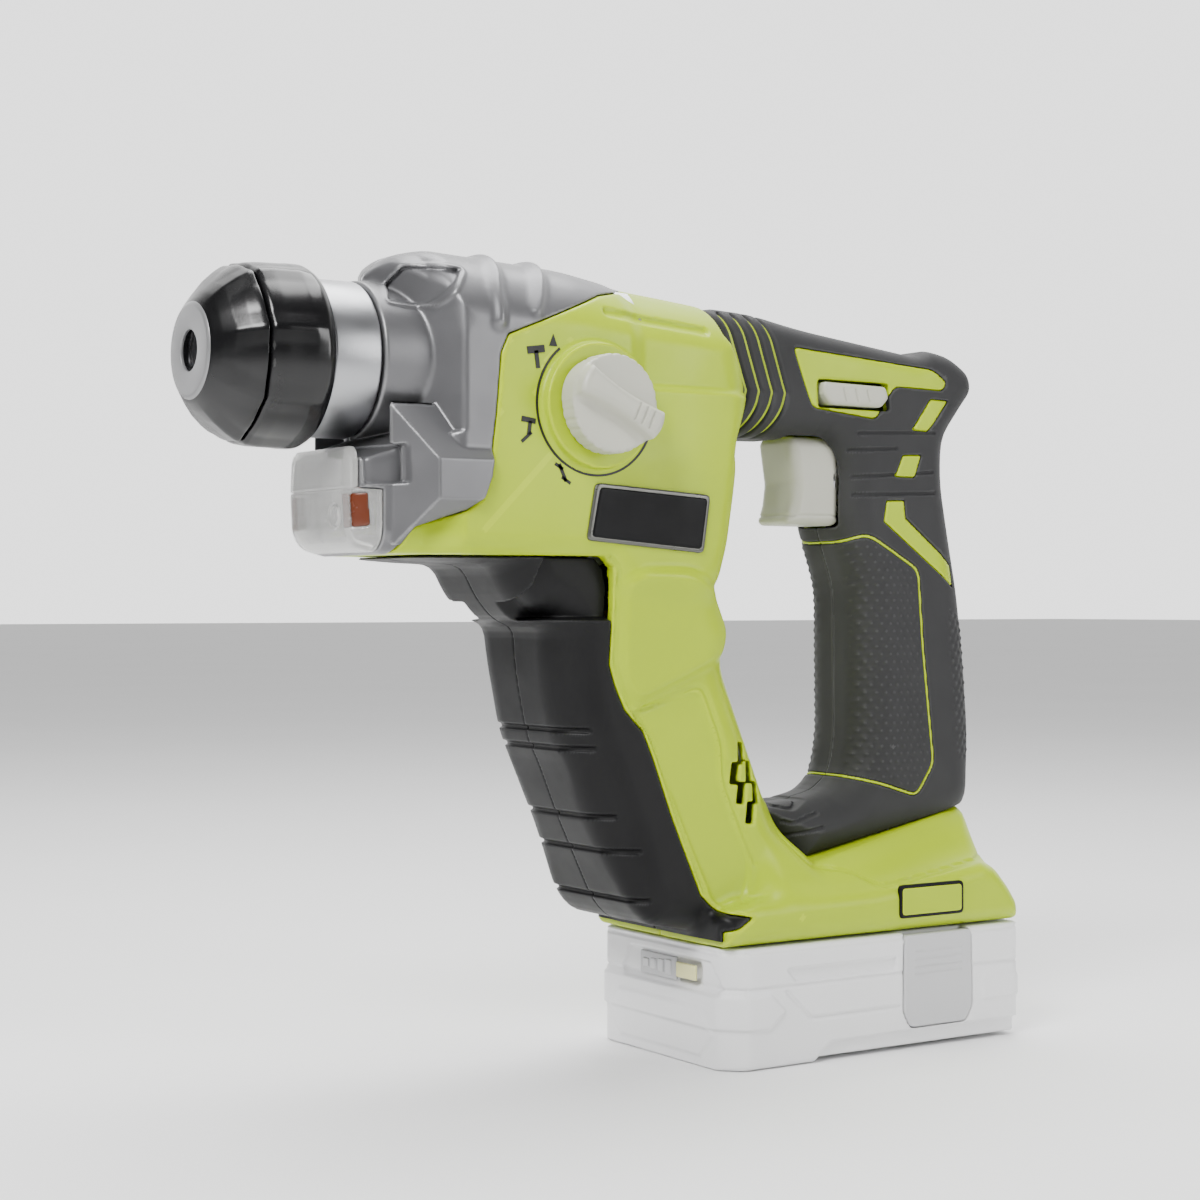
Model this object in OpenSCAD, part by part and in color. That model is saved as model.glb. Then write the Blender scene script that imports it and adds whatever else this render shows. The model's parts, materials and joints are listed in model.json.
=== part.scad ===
// Cordless rotary hammer with an inclined motor, a D-handle and a stem battery.
// Every sub-part is drawn from a datum under the battery's front edge, and datum() moves
// it to the part's own origin, which lies under the middle of the battery.

/* [Battery] */
// Length of the battery pack, front to rear
bat_l = 122; // [118:1:126]
// Width of the battery pack
bat_w = 76; // [74:1:80]
// Height of the pack below the tool's base
bat_h = 38; // [37:0.5:40]

/* [Casing] */
// Half width of the head, which holds the gearbox
head_hw = 33; // [32:0.5:35]
// Half width of the motor column
column_hw = 27; // [26.5:0.5:29]
// Half width of the rear handle
handle_hw = 18; // [17.5:0.5:20]
// Wall thickness of the plastic shells
wall = 2.6; // [2.2:0.1:3]

/* [Drive] */
// Lean of the motor from the vertical
tilt = 24; // [24:1:24]
// Height of the spindle axis
spindle_z = 215.5; // [215.5:1:215.5]
// Teeth on the spindle gear
spindle_teeth = 50; // [50:1:50]
// Teeth on the countershaft pinion
pinion_teeth = 21; // [21:1:21]
// Teeth on the bevel gear
bevel_teeth = 24; // [24:1:24]
// Teeth on the motor pinion
motor_teeth = 8; // [8:1:8]
// Module of the spur gears
gear_m = 1; // [1:0.1:1]

/* [Chuck] */
// Radius of the tool bore for a 10 mm shank
bore_r = 5.05; // [5.02:0.01:5.08]
// Largest radius of the locking sleeve
sleeve_r = 27.2; // [26:0.1:28]

/* [Hidden] */
$fn = 64;

apex_x = -48;            // where the motor axis meets the countershaft
wobble_x = -60;          // centre of the wobble bearing
skin = 2.4;              // thickness of the rubber overmould
gap = 0.1;               // assembly gap between fixed parts
shaft_z = spindle_z - gear_m * (spindle_teeth + pinion_teeth) / 2;
core_hw = handle_hw - skin;
shaft_angle = 90 - tilt; // between the motor axis and the countershaft
pinion_cone = atan(sin(shaft_angle) / (bevel_teeth / motor_teeth + cos(shaft_angle)));
gear_cone = shaft_angle - pinion_cone;
bevel_m = 1.25;
cone_far = bevel_m * bevel_teeth / 2 / sin(gear_cone);
cone_near = cone_far - 6;
dial_x = -46;
dial_z = 203;
stem_x0 = 76;
stem_l = 34;
stem_hw = 12;
stem_top = 76;
// Screw bosses, as [distance, height, half length]
screw_places = [[-10, 229, 32], [-4, 172, 32], [30, 60, 20], [116, 49, 30], [46, 226, 14.6],
  [95, 140, 14.6], [95, 112, 14.6]];

// Side outlines, as [distance from the battery's front edge, height]
case_outline = [[-108, 240], [-100, 246.7], [-93.5, 248.5], [-73, 247.4], [-47, 246],
  [-23, 242], [-43, 236], [-76, 222], [-78, 218], [-80, 200], [-83, 180], [-85, 174],
  [-90, 171], [-105, 166], [-107, 161], [-111, 158], [-118, 160], [-120, 163], [-120, 177],
  [-119, 189], [-110.6, 191.5]];
head_outline = [[-108, 240], [-93.5, 248], [-23, 242], [22, 238], [10, 228], [15, 212],
  [8, 196], [5, 180], [3, 162], [0, 154], [-10, 152], [-42, 152], [-46, 158], [-111, 158],
  [-107, 180]];
column_outline = [[-60, 164], [-60, 120], [-22, 44], [0, 41], [40, 41], [36, 64], [29, 76],
  [12, 120], [12, 134], [5, 147], [0, 164]];
grip_front = [[-100, 157.4], [-42, 157.4], [-38, 152], [-37.5, 126], [-31, 112], [-24, 104],
  [-4, 54], [0, 45], [-4, 42.6], [-22, 45], [-25, 50], [-37, 75], [-50, 105], [-54, 125],
  [-56, 138], [-62, 139], [-73, 152]];
base_outline = [[0, 38], [122, 38], [121.5, 47], [113, 56], [102, 61], [40, 57], [-2, 52],
  [-3, 42]];
neck_outline = [[14, 52], [112, 56], [122, 74], [112, 74.5], [46, 61], [44, 66], [32, 74],
  [18, 84]];
grip_outline = [[12, 198], [60, 199], [64, 190], [63, 172], [68, 162], [72, 150], [72, 95],
  [66, 84], [54, 78.5], [32, 76], [44, 66], [46, 61.2], [112, 74.7], [122.5, 75],
  [121.5, 120], [118.5, 150], [113, 172], [111, 190], [110, 202], [117, 212], [122, 218],
  [119, 225], [108, 230], [50, 234.5], [12, 238.5]];

module datum() translate([-bat_l / 2, 0, 0]) children();

// A side outline extruded from y0 to y1
module side_prism(points, y0, y1, grow = 0)
  rotate([90, 0, 0]) translate([0, 0, -y1]) linear_extrude(y1 - y0)
    offset(delta = grow) polygon(points);

// The same with its outer edge rounded by r in steps, from the middle plane to y = -hw
module soft_prism(points, hw, r, grow = 0)
  for (a = [15:25:90])
    side_prism(points, -hw + r * (1 - sin(a)), 0, grow - r * (1 - cos(a)) * 0.8);

// A round bar along the tool's length
module bar(x0, x1, r, z = spindle_z)
  translate([x0, 0, z]) rotate([0, 90, 0]) cylinder(h = x1 - x0, r = r);

module ring(x0, x1, ro, ri, z = spindle_z)
  difference() {
    bar(x0, x1, ro, z);
    bar(x0 - 1, x1 + 1, ri, z);
  }

module box(x0, x1, hw, z0, z1) translate([x0, -hw, z0]) cube([x1 - x0, 2 * hw, z1 - z0]);

// A shape turned about the spindle axis from [distance along it, radius] points
module turned(points)
  translate([0, 0, spindle_z]) rotate([0, 90, 0]) rotate_extrude()
    polygon([for (p = points) [p[1], p[0]]]);

// The motor's own frame: z = 0 is the bevel gears' apex, and -z runs down the shaft
module on_motor() translate([apex_x, 0, shaft_z]) rotate([0, -tilt, 0]) children();

module disc(s0, s1, r) translate([0, 0, -s1]) cylinder(h = s1 - s0, r = r);

module tube(s0, s1, ro, ri)
  difference() {
    disc(s0, s1, ro);
    disc(s0 - 1, s1 + 1, ri);
  }

// Keep only the half of a part on the side with y below 0
module half() intersection() {
  children();
  translate([-300, -100, -10]) cube([600, 100 - gap / 2, 400]);
}

// Gear outline with straight-sided teeth; tip and root are half widths over the pitch
function gear_points(n, m, add, ded, tip, root, phase = 0) = [
  for (i = [0:n - 1], k = [[-root, -ded], [-tip, add], [tip, add], [root, -ded]])
    let (a = 360 / n * (i + k[0] + phase), r = m * n / 2 + k[1] * m) [r * cos(a), r * sin(a)]];

module spur_gear(x0, x1, n, z, ri, phase)
  translate([x0, 0, z]) rotate([0, 90, 0]) difference() {
    linear_extrude(x1 - x0) polygon(gear_points(n, gear_m, 0.9, 1.15, 0.1, 0.32, phase));
    translate([0, 0, -1]) cylinder(h = x1 - x0 + 2, r = ri);
  }

// A straight bevel gear on -Z whose teeth all run to the origin
module bevel(n, cone, phase, ri) {
  far = cone_far * cos(cone);
  near = cone_near * cos(cone);
  difference() {
    union() {
      translate([0, 0, -far]) linear_extrude(far - near, scale = near / far)
        polygon(gear_points(n, bevel_m, 0.55, 0.85, 0.07, 0.2, phase));
      translate([0, 0, -far - 1.6]) cylinder(h = 1.7, r = bevel_m * n / 2 - 0.9 * bevel_m);
    }
    translate([0, 0, -far - 5]) cylinder(h = 30, r = ri);
  }
}

// A coil of round wire along +Z, swept as rings of 8 points
module coil(len, r, wire, turns) {
  n = 20 * turns;
  function at(i) = 360 * turns * i / n;
  points = [for (i = [0:n], k = [0:7])
    let (a = at(i), q = r + wire * cos(45 * k))
    [q * cos(a), q * sin(a), wire + (len - 2 * wire) * i / n + wire * sin(45 * k)]];
  sides = [for (i = [0:n - 1], k = [0:7])
    [8 * i + k, 8 * (i + 1) + k, 8 * (i + 1) + (k + 1) % 8, 8 * i + (k + 1) % 8]];
  polyhedron(points, concat(sides, [[for (k = [0:7]) k], [for (k = [7:-1:0]) 8 * n + k]]),
    convexity = 6);
}

module head_space() {
  intersection() {
    bar(-104, 1, head_hw - wall);
    translate([-120, -60, spindle_z - 1]) cube([200, 120, 60]);
    side_prism(head_outline, -60, 60, -wall);
  }
  box(-104, 1, head_hw - wall, 162, spindle_z);
  on_motor() disc(14, 111, 22.5);
  on_motor() disc(110, 126, 18);
}

module head_form() intersection() {
  union() {
    bar(-140, 60, head_hw);
    box(-140, 60, head_hw, 150, spindle_z);
  }
  side_prism(head_outline, -60, 60);
}

module bosses() for (p = screw_places) translate([p[0], 0, p[1]]) rotate([90, 0, 0])
  cylinder(h = 2 * p[2], r = 4.2, center = true);

module trigger_space() {
  box(40, 76, 10.6, 169.4, 199.7);
}

module housing() difference() {
  union() {
    difference() {
      union() {
        head_form();
        intersection() {
          on_motor() disc(10, 170, column_hw);
          side_prism(column_outline, -40, 40);
        }
        for (s = [0, 1]) mirror([0, s, 0]) {
          soft_prism(base_outline, bat_w / 2, 6);
          soft_prism(neck_outline, 24, 6);
          soft_prism(grip_outline, core_hw, 6, -skin);
        }
        box(6, 16, core_hw, 202, 234);
      }
      head_space();
      side_prism(grip_outline, -core_hw + wall, core_hw - wall, -skin - wall);
      box(stem_x0 - 1, stem_x0 + stem_l + 1, stem_hw + 1, 30, 90);
    }
    intersection() {
      bosses();
      union() {
        head_form();
        side_prism(grip_outline, -40, 40, -skin);
        side_prism(base_outline, -40, 40);
        side_prism(neck_outline, -40, 40);
      }
    }
    intersection() {
      // the raised seat of the mode dial, on the left side only
    translate([dial_x, -36, dial_z]) rotate([-90, 0, 0]) cylinder(h = 5.5, r = 18);
      side_prism(head_outline, -60, 60);
    }
  }
  side_prism(case_outline, -60, 60, gap);
  difference() {
    side_prism(grip_front, -60, 60, gap);
    on_motor() disc(0, 200, column_hw - skin);
  }
  trigger_space();
  box(51.6, 80.4, 30, 208.9, 217.1);
  box(55, 79, core_hw - wall, 206, 222);
  translate([dial_x, -60, dial_z]) rotate([-90, 0, 0]) cylinder(h = 40, r = 9);
  for (i = [0:2], k = [0:1], s = [-1, 1])
    translate([9 + 3.2 * i + 3 * k, 26 * s, 97 - 6.2 * i - 3.6 * k]) rotate([0, -24, 0])
      cube([3, 16, 4.6], center = true);
  for (p = screw_places) translate([p[0], -10.6, p[1]]) rotate([-90, 0, 0]) {
    cylinder(h = 30, r = 1.6);
    translate([0, 0, 22.5]) cylinder(h = 40, r = 3.3);
  }
}

module housing_left() color([0.75, 0.8, 0.15]) half() housing();
module housing_right() color([0.75, 0.8, 0.15])
  mirror([0, 1, 0]) half() mirror([0, 1, 0]) housing();

module handle_skin(side) color([0.32, 0.32, 0.34]) difference() {
  soft_prism(grip_outline, handle_hw, 7);
  soft_prism(grip_outline, core_hw + gap, 6, -skin + gap);
  side_prism(grip_outline, -core_hw + 5, 1, -skin + gap);
  head_form();
  side_prism(neck_outline, -40, 1, gap);
  side_prism(base_outline, -40, 1, gap);
  trigger_space();
  box(51.6, 80.4, 30, 208.9, 217.1);
  box(5, 16.1, core_hw + gap, 201.9, 234.1);
  box(stem_x0 - 1, stem_x0 + stem_l + 1, stem_hw + 1, 30, 90);
  translate([-300, -gap / 2, 0]) cube([600, 10, 400]);
  if (side > 0) for (p = screw_places) translate([p[0], -60, p[1]]) rotate([-90, 0, 0])
    cylinder(h = 60, r = 3.3);
}
module handle_grip_left() handle_skin(0);
module handle_grip_right() mirror([0, 1, 0]) handle_skin(1);

module column_skin() color([0.14, 0.14, 0.15]) difference() {
  soft_prism(grip_front, column_hw + 0.4, 9);
  on_motor() disc(-100, 300, column_hw - skin + gap);
  side_prism(base_outline, -60, 1, gap);
  translate([-10, -60, 30]) cube([100, 61, 26]);
  head_form();
  side_prism(case_outline, -60, 1, gap);
  translate([-300, -gap / 2, 0]) cube([600, 10, 400]);
}
module column_grip_left() column_skin();
module column_grip_right() mirror([0, 1, 0]) column_skin();

module gear_case() color([0.6, 0.6, 0.62]) difference() {
  union() {
    intersection() {
      union() {
        bar(-110.4, 0, head_hw);
        box(-125, 0, head_hw, 150, spindle_z);
      }
      side_prism(case_outline, -60, 60);
      linear_extrude(400) polygon([[-120.5, -12], [-120.5, 12], [-113, 22], [-106, 30],
        [-100, 33], [0, 33], [0, -33], [-100, -33], [-106, -30], [-113, -22]]);
    }
    ring(-126, -103, 20.2, 17);
    ring(-110.8, -103, 23.4, 17);
  }
  head_space();
  bar(-127, -103, 17.6);
  bar(-110.5, -103, 9.6, shaft_z);
  box(-130, -111.9, 10.1, 160.8, 177.2);
}

module front_collar() color([0.75, 0.76, 0.78]) turned([[-126.9, 20.3], [-126.9, 22.4],
  [-126.2, 23], [-112.2, 23], [-111.5, 22.4], [-111.5, 20.3]]);

module barrel_seal_ring() color([0.15, 0.15, 0.15]) ring(-126, -124.2, 17.5, 11.2);
module front_bearing() color([0.7, 0.7, 0.72]) ring(-124, -116, 17.5, 11.05);

module case_slice(x0, x1, z0) intersection() {
  translate([x0, -50, z0]) cube([x1 - x0, 100, 300]);
  union() {
    intersection() {
      bar(x0, x1, head_hw - wall - gap);
      translate([x0, -50, spindle_z - 1]) cube([50, 100, 80]);
      side_prism(head_outline, -60, 60, -wall - gap);
    }
    box(x0, x1, head_hw - wall - gap, 162.1, spindle_z);
  }
}

module gear_plate() color([0.66, 0.66, 0.68]) difference() {
  case_slice(-81, -77, 163);
  bar(-90, -70, 17.1);
  bar(-90, -70, 8, shaft_z);
}

module spindle_rear_bush() color([0.75, 0.6, 0.3]) ring(-81, -77, 17, 14.05);

module countershaft_front_bearing() color([0.7, 0.7, 0.72]) ring(-110, -105, 9.5, 5.05, shaft_z);
module countershaft_rear_bearing() color([0.7, 0.7, 0.72]) ring(-30, -25, 9.5, 5.05, shaft_z);

module bearing_bridge() color([0.66, 0.66, 0.68]) difference() {
  case_slice(-30, -25, 168);
  bar(-40, -20, 9.6, shaft_z);
  box(-40, -20, 14, 203, 300);
}

module cap_screw(r, len) {
  cylinder(h = len, r = r);
  translate([0, 0, len]) difference() {
    cylinder(h = 2.4, r = 3);
    translate([0, 0, 1]) cylinder(h = 2, r = 1.4, $fn = 6);
  }
}

module housing_screws() color([0.35, 0.35, 0.37])
  for (p = screw_places) translate([p[0], -10, p[1]]) rotate([-90, 0, 0]) cap_screw(1.5, 22);

module spindle() color([0.7, 0.71, 0.73]) difference() {
  union() {
    bar(-158, -113, 11);
    bar(-113, -76, 14);
  }
  bar(-170, -121, bore_r);
  bar(-122, -104, 8.05);
  bar(-105, -70, 10.5);
  for (s = [-1, 1]) translate([-143.5, 0, spindle_z]) rotate([s * 90, 0, 0])
    cylinder(h = 20, r = 2.95);
}

module spindle_gear() color([0.6, 0.6, 0.62]) spur_gear(-92, -84, spindle_teeth, spindle_z, 14.02, 0);

module locking_balls() color([0.8, 0.8, 0.82])
  for (s = [-1, 1]) translate([-143.5, 8 * s, spindle_z]) sphere(r = 2.88, $fn = 32);

module spring_seat() color([0.5, 0.5, 0.52]) ring(-129.5, -128, 20, 11.02);

module chuck_spring() color([0.75, 0.75, 0.78]) translate([-140.2, 0, spindle_z])
  rotate([0, 90, 0]) coil(10.4, 14.5, 0.9, 4);

module nose_cap() color([0.25, 0.25, 0.27]) turned([[-161, 6], [-161, 12.2], [-160.2, 13.4],
  [-156, 18.5], [-151, 23.6], [-147.6, 26], [-147.6, 11.02], [-158.2, 11.02], [-158.2, 6]]);

module chuck_sleeve() color([0.1, 0.1, 0.1]) turned([[-147, 11.08], [-147, 26.4], [-143, sleeve_r],
  [-133, sleeve_r], [-129, 26.4], [-127, 24.6], [-127, 23.6], [-141, 23.6], [-141, 11.08]]);

module beat_piece() color([0.6, 0.6, 0.63]) {
  bar(-121.9, -117, 4.98);
  bar(-118, -108, 7.98);
  bar(-108.5, -105.1, 6);
}

module striker() color([0.66, 0.66, 0.7]) {
  bar(-98.5, -81.5, 7.5);
  bar(-100, -80, 6.4);
}

module piston() color([0.75, 0.75, 0.78]) difference() {
  union() {
    bar(-98, -66, 10.44);
    intersection() {
      bar(-68, -53, 10.4);
      box(-68, -53, 8, 208, 223);
    }
  }
  bar(-99, -69, 7.56);
  translate([wobble_x, 0, 190]) cylinder(h = 50, r = 4.56);
}

module wobble_ring() color([0.6, 0.6, 0.64]) {
  difference() {
    bar(wobble_x - 5, wobble_x + 5, 16, shaft_z);
    translate([wobble_x, 0, shaft_z]) rotate([0, 90, 0]) sphere(r = 11.08, $fn = 96);
  }
  translate([wobble_x, 0, shaft_z + 14]) cylinder(h = spindle_z - shaft_z - 14, r = 3);
  translate([wobble_x, 0, spindle_z]) sphere(r = 4.5, $fn = 48);
}

module countershaft() color([0.7, 0.7, 0.73]) bar(-109.6, -24, 5, shaft_z);

module drive_pinion() color([0.62, 0.62, 0.65])
  spur_gear(-94, -82.5, pinion_teeth, shaft_z, 5.02, 0);

module wobble_hub() color([0.55, 0.55, 0.6]) difference() {
  intersection() {
    translate([wobble_x, 0, shaft_z]) rotate([0, 90, 0]) sphere(r = 11, $fn = 96);
    bar(wobble_x - 7, wobble_x + 7, 20, shaft_z);
  }
  bar(wobble_x - 20, wobble_x + 20, 5.02, shaft_z);
}

module bevel_gear() color([0.6, 0.6, 0.62])
  translate([apex_x, 0, shaft_z]) rotate([0, -90, 0]) bevel(bevel_teeth, gear_cone, 0.5, 5.02);

module motor_shaft() color([0.75, 0.75, 0.78]) on_motor() disc(18.8 + 1.5, 112, 4);
module motor_pinion() color([0.7, 0.7, 0.72]) on_motor() bevel(motor_teeth, pinion_cone, 0, 0.01);

module armature() color([0.45, 0.45, 0.48]) on_motor() difference() {
  disc(54, 88, 16.4);
  disc(50, 90, 4.02);
  for (i = [0:11]) rotate([0, 0, 30 * i]) translate([12, -1.2, -90]) cube([6, 2.4, 40]);
}

module armature_windings() color([0.7, 0.4, 0.2]) on_motor() {
  tube(47, 53.9, 13.6, 4.1);
  tube(88.1, 93, 13.6, 4.1);
  for (i = [0:11]) rotate([0, 0, 30 * i]) translate([12.4, -1, -90]) cube([1.2, 2, 40]);
}

module commutator() color([0.75, 0.5, 0.3]) on_motor() tube(94, 104, 8.5, 4.02);

module cooling_fan() color([0.2, 0.2, 0.22]) on_motor() {
  tube(30, 31.6, 20, 4.02);
  tube(31.5, 38, 6.5, 4.02);
  for (i = [0:15]) rotate([0, 0, 22.5 * i]) translate([8, -0.6, -37]) cube([11.4, 1.2, 6]);
}

module motor_can() color([0.5, 0.5, 0.52]) on_motor() tube(42, 93.8, 22.3, 20.6);

module magnets() color([0.3, 0.3, 0.32]) on_motor() intersection() {
  tube(48, 92, 20.5, 17.2);
  union() for (s = [0, 180]) rotate([0, 0, s]) translate([6, -30, -100]) cube([40, 60, 60]);
}

module motor_plate() color([0.66, 0.66, 0.68]) on_motor() tube(22.4, 26.4, 22.3, 9.6);
module motor_end_cap() color([0.2, 0.2, 0.22]) on_motor() difference() {
  disc(94, 110.8, 22.3);
  disc(90, 104.5, 17);
  disc(104, 109.1, 9.6);
  disc(100, 120, 5);
}

module carbon_brushes() color([0.2, 0.2, 0.2]) on_motor()
  for (s = [-1, 1]) translate([-3, s > 0 ? 8.8 : -16.6, -102]) cube([6, 7.8, 6]);

module switch_module() color([0.16, 0.16, 0.17]) difference() {
  box(77, 99, 11, 168, 199);
  box(76, 84.5, 6.3, 177.5, 192.5);
}

module trigger() color([0.85, 0.85, 0.8]) {
  rotate([90, 0, 0]) translate([0, 0, -9.8]) linear_extrude(19.6)
    polygon([[47, 199], [45.4, 197], [46.6, 190], [47.6, 183], [46.6, 176], [44.6, 171],
      [46, 170], [60, 170], [61, 172], [61, 198], [60, 199]]);
  box(60, 78, 5, 178.7, 191.3);
}

module trigger_spring() color([0.75, 0.75, 0.78]) translate([61.2, 0, 185])
  rotate([0, 90, 0]) coil(15.5, 9.5, 0.6, 5);

module direction_selector() color([0.87, 0.87, 0.82]) {
  box(52, 80, 19.6, 209.3, 216.7);
}

module mode_dial() color([0.87, 0.87, 0.82]) translate([dial_x, 0, dial_z]) rotate([90, 0, 0]) {
  translate([0, 0, 30]) cylinder(h = 7, r = 8.94);
  translate([0, 0, 36.3]) cylinder(h = 8.7, r = 14.7);
  rotate([0, 0, -27]) translate([-14, -4, 44]) cube([28, 8, 5]);
}

module work_light_lens() color([0.9, 0.92, 0.95]) {
  difference() {
    box(-120.6, -113, 10, 161, 177);
    box(-118, -112, 8, 163, 175);
  }
}
module terminal_block() color([0.15, 0.15, 0.16]) {
  box(78, 108, 12.4, 80.5, 89.5);
  for (y = [-7, 7]) translate([84, y - 0.5, 66]) cube([16, 1, 15]);
}

module motor_bearings() color([0.7, 0.7, 0.72]) on_motor() {
  tube(22.4, 26.4, 9.5, 4.05);
  tube(105, 109, 9.5, 4.05);
}

module slanted_plate(points, y) rotate([90, 0, 0]) translate([0, 0, y])
  linear_extrude(0.8) polygon(points);
badge = [[-47, 180], [-4, 177.4], [-6.7, 159.7], [-50, 163]];
module badges() color([0.08, 0.08, 0.08]) for (s = [0, 1]) mirror([0, s, 0])
  slanted_plate(badge, head_hw + 0.05);

base_badge = [[67.5, 42.5], [95, 42.5], [95, 53.5], [67.5, 53.5]];
module base_plates() color([0.15, 0.15, 0.15]) for (s = [0, 1]) mirror([0, s, 0])
  slanted_plate(base_badge, bat_w / 2 + 0.05);

module battery_form(z0, z1) translate([0, 0, z0]) linear_extrude(z1 - z0)
  offset(r = 5, $fn = 32) translate([5, -bat_w / 2 + 5]) square([bat_l - 10, bat_w - 10]);

module latch_windows() for (s = [-1, 1])
  translate([68.8, s * 36 - 3, 5.8]) cube([31.4, 6, 31.4]);

module battery_lower_case() color([0.9, 0.9, 0.9]) difference() {
  battery_form(0, 25);
  box(3, bat_l - 3, bat_w / 2 - 3.5, 3, 30);
  latch_windows();
  translate([-1, -17, 5.9]) cube([1.9, 24.2, 16.2]);
  translate([-1, 0, 14]) rotate([0, 90, 0]) cylinder(h = 10, r = 3.1);
}

module battery_upper_case() color([0.82, 0.82, 0.82]) difference() {
  union() {
    battery_form(25.1, bat_h - gap);
    box(stem_x0, stem_x0 + stem_l, stem_hw, 30, stem_top);
  }
  box(3, bat_l - 3, bat_w / 2 - 3.5, 20, 33);
  box(stem_x0 + 3, stem_x0 + stem_l - 3, stem_hw - 3, 30, 60);
  latch_windows();
  for (y = [-7, 7]) translate([82, y - 1.6, 50]) cube([20, 3.2, 40]);
}

module battery_cells() color([0.2, 0.4, 0.6])
  for (x = [15:22.5:106]) translate([x, 0, 16]) rotate([90, 0, 0])
    cylinder(h = 65, r = 9.2, center = true);

module latch() color([0.78, 0.78, 0.78]) translate([69, -bat_w / 2, 6]) cube([31, 2.8, 31]);
module battery_latch_left() latch();
module battery_latch_right() mirror([0, 1, 0]) latch();

module gauge_panel() color([0.7, 0.7, 0.7]) difference() {
  translate([0, -16.9, 6]) cube([0.8, 24, 16]);
  translate([-1, 0, 14]) rotate([0, 90, 0]) cylinder(h = 10, r = 3.1);
}
module charge_button() color([0.9, 0.88, 0.6]) translate([-0.8, 0, 14]) rotate([0, 90, 0])
  cylinder(h = 2.8, r = 3.02);

datum() housing_left();
datum() housing_right();
datum() handle_grip_left();
datum() handle_grip_right();
datum() column_grip_left();
datum() column_grip_right();
datum() gear_case();
datum() front_collar();
datum() barrel_seal_ring();
datum() front_bearing();
datum() gear_plate();
datum() spindle_rear_bush();
datum() countershaft_front_bearing();
datum() countershaft_rear_bearing();
datum() bearing_bridge();
datum() housing_screws();
datum() spindle();
datum() spindle_gear();
datum() locking_balls();
datum() spring_seat();
datum() chuck_spring();
datum() nose_cap();
datum() chuck_sleeve();
datum() beat_piece();
datum() striker();
datum() piston();
datum() wobble_ring();
datum() countershaft();
datum() drive_pinion();
datum() wobble_hub();
datum() bevel_gear();
datum() motor_shaft();
datum() motor_pinion();
datum() armature();
datum() armature_windings();
datum() commutator();
datum() cooling_fan();
datum() motor_can();
datum() magnets();
datum() motor_plate();
datum() motor_end_cap();
datum() motor_bearings();
datum() carbon_brushes();
datum() switch_module();
datum() trigger();
datum() trigger_spring();
datum() direction_selector();
datum() mode_dial();
datum() work_light_lens();
datum() terminal_block();
datum() badges();
datum() base_plates();
datum() battery_lower_case();
datum() battery_upper_case();
datum() battery_cells();
datum() battery_latch_left();
datum() battery_latch_right();
datum() gauge_panel();
datum() charge_button();
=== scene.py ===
import bmesh
import bpy
import json
import math
import numpy as np
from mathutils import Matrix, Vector


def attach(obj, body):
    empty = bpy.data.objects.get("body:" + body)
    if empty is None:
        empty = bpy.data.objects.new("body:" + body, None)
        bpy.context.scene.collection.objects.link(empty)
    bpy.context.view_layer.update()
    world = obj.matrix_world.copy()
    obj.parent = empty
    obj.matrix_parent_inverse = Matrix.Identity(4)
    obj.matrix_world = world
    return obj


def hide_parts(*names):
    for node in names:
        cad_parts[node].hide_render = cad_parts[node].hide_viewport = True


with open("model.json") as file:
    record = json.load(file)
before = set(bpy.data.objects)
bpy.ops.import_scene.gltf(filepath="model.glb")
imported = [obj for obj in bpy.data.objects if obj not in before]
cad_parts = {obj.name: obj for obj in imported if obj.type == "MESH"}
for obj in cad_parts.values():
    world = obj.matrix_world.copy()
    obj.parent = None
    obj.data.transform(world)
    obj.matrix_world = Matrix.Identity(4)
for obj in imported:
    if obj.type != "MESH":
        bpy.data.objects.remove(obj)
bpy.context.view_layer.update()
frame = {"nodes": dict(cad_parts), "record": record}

HALF_L = 61.0            # millimetres from the battery's front edge to the origin
SPZ = 215.5              # spindle axis height
F32 = np.float32
GAP = 0.12               # each half stops this far from the middle plane
SEAM = 0.18              # half the width of the line between two colours

# ---------------------------------------------------------------- camera
cam_data = bpy.data.cameras.new("camera")
cam = bpy.data.objects.new("camera", cam_data)
bpy.context.scene.collection.objects.link(cam)
cam.location = (-0.4747, -0.5947, 0.1443)
cam.rotation_euler = Vector((0.5493, 0.8356, 0.0016)).to_track_quat("-Z", "Y").to_euler()
cam_data.sensor_width = 36
cam_data.lens = 67.85
bpy.context.scene.camera = cam

# ---------------------------------------------------------------- 2-D outlines on a raster
X0, X1, Z0, Z1, DX = -175.0, 140.0, -12.0, 262.0, 0.4
GX = np.arange(X0, X1, DX, dtype=F32)
GZ = np.arange(Z0, Z1, DX, dtype=F32)
PX, PZ = np.meshgrid(GX, GZ)


def fillet(pts, r=0.5, n=3, closed=True):
    """Rounds the corners of an outline by r."""
    p = np.array(pts, float)
    out = []
    for i in range(len(p)):
        b = p[i]
        if not closed and i in (0, len(p) - 1):
            out.append(b)
            continue
        u, v = p[i - 1] - b, p[(i + 1) % len(p)] - b
        lu, lv = np.linalg.norm(u), np.linalg.norm(v)
        d = min(r, lu * 0.45, lv * 0.45)
        s, e = b + u / lu * d, b + v / lv * d
        for k in range(n + 1):
            t = k / n
            out.append((1 - t) ** 2 * s + 2 * t * (1 - t) * b + t * t * e)
    return out


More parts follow.
